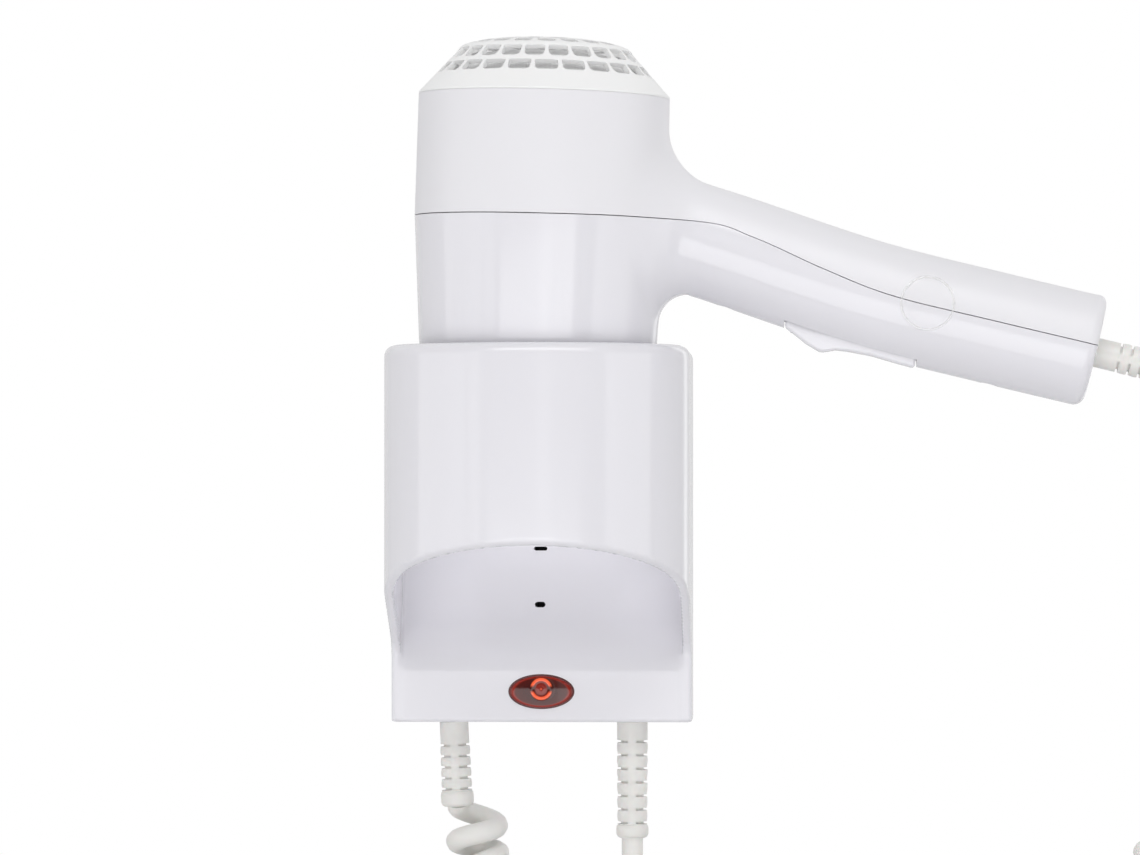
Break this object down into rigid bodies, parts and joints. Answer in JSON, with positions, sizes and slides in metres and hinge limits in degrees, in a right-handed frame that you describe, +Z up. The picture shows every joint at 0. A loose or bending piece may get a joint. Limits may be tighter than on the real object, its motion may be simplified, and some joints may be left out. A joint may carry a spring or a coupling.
{
  "type": "wall-mounted hair dryer",
  "caption": "Hair dryer standing in its wall-mounted cup holder, with curly cord, perforated inlet cap, angled handle and trigger, pilot lamp and a mains lead with its plug.",
  "frame": {"origin": "on the back face of the wall plate, which lies on the wall, at the middle of the holder's height and width", "axes": "+Z up, -Y out from the wall, +X to the right as seen from the front, the side that the handle points to"},
  "size_m": [0.2897, 0.107, 0.4935],
  "materials": {
    "gloss_white": "injection-moulded ABS, glossy cool white",
    "upper_casing_white": "injection-moulded ABS, glossy, a shade lighter than the lower casing",
    "grille_white": "moulded white plastic, satin",
    "cord_white": "flexible PVC, warm white, satin",
    "moulded_grey": "moulded plastic, fine texture",
    "moulded_black": "moulded plastic, satin",
    "pilot_red": "translucent red lens plastic, polished",
    "lamp_glass": "small neon lamp, clear glass",
    "steel": "zinc-plated steel",
    "brass": "nickel-plated brass",
    "mica": "mica sheet",
    "heater_wire": "resistance wire",
    "board_green": "printed circuit board"
  },
  "bodies": {
    "holder": {"holder_shell": "gloss_white", "cup_liner": "gloss_white", "curly_gland": "cord_white", "mains_gland": "cord_white", "curly_cord": "cord_white", "mains_lead": "cord_white", "plug_lead": "cord_white", "mains_coil": "cord_white", "plug_body": "cord_white", "wall_plate": "moulded_grey", "curly_clamp": "moulded_grey", "mains_clamp": "moulded_grey", "lamp_holder": "moulded_grey", "terminal_block": "moulded_grey", "coil_tie": "moulded_grey", "pilot_lens": "pilot_red", "pilot_lamp": "lamp_glass", "clamp_screw_1": "steel", "clamp_screw_2": "steel", "clamp_screw_3": "steel", "clamp_screw_4": "steel", "terminal_screw_1": "steel", "terminal_screw_2": "steel", "terminal_screw_3": "steel", "upper_cover_catch": "steel", "lower_cover_catch": "steel", "plug_pin_left": "brass", "plug_pin_right": "brass"},
    "handset": {"front_shell": "gloss_white", "rear_shell": "upper_casing_white", "inlet_grille": "grille_white", "lint_screen": "grille_white", "fan_shroud": "grille_white", "motor": "steel", "motor_end_cap": "moulded_black", "rectifier_board": "board_green", "mica_board_1": "mica", "mica_board_2": "mica", "mica_sleeve": "mica", "heater_coil": "heater_wire", "thermal_cutout": "brass", "thermal_fuse": "grille_white", "outlet_grille": "moulded_black", "microswitch": "moulded_black", "trigger_pin": "steel", "handle_gland": "cord_white", "handle_clamp": "moulded_grey", "casing_screw_1": "steel", "casing_screw_2": "steel"},
    "rotor": {"motor_shaft": "steel", "impeller": "moulded_black"},
    "trigger": {"trigger": "gloss_white"},
    "plunger": {"switch_plunger": "pilot_red"}
  },
  "joints": [
    {"name": "handset_lift", "type": "slide", "parent": "holder", "child": "handset", "axis": [0.0262, 0, 0.9997], "range_m": [0, 0.12]},
    {"name": "fan_spin", "type": "hinge", "parent": "handset", "child": "rotor", "pos_m": [-0.0011, -0.058, 0.00791], "axis": [0.0262, 0, 0.9997], "continuous": true},
    {"name": "trigger_press", "type": "hinge", "parent": "handset", "child": "trigger", "pos_m": [0.11829, -0.058, 0.0593], "axis": [0, 1, 0], "range_deg": [0, 6], "stiffness_Nm_per_rad": 0.5, "springref_deg": -5.73},
    {"name": "plunger_slide", "type": "slide", "parent": "handset", "child": "plunger", "axis": [0.0262, 0, 0.9997], "range_m": [0, 0.0022]}
  ],
  "couplings": [
    {"joint": "plunger_slide", "follows": "trigger_press", "m_per_rad": 0.02}
  ]
}
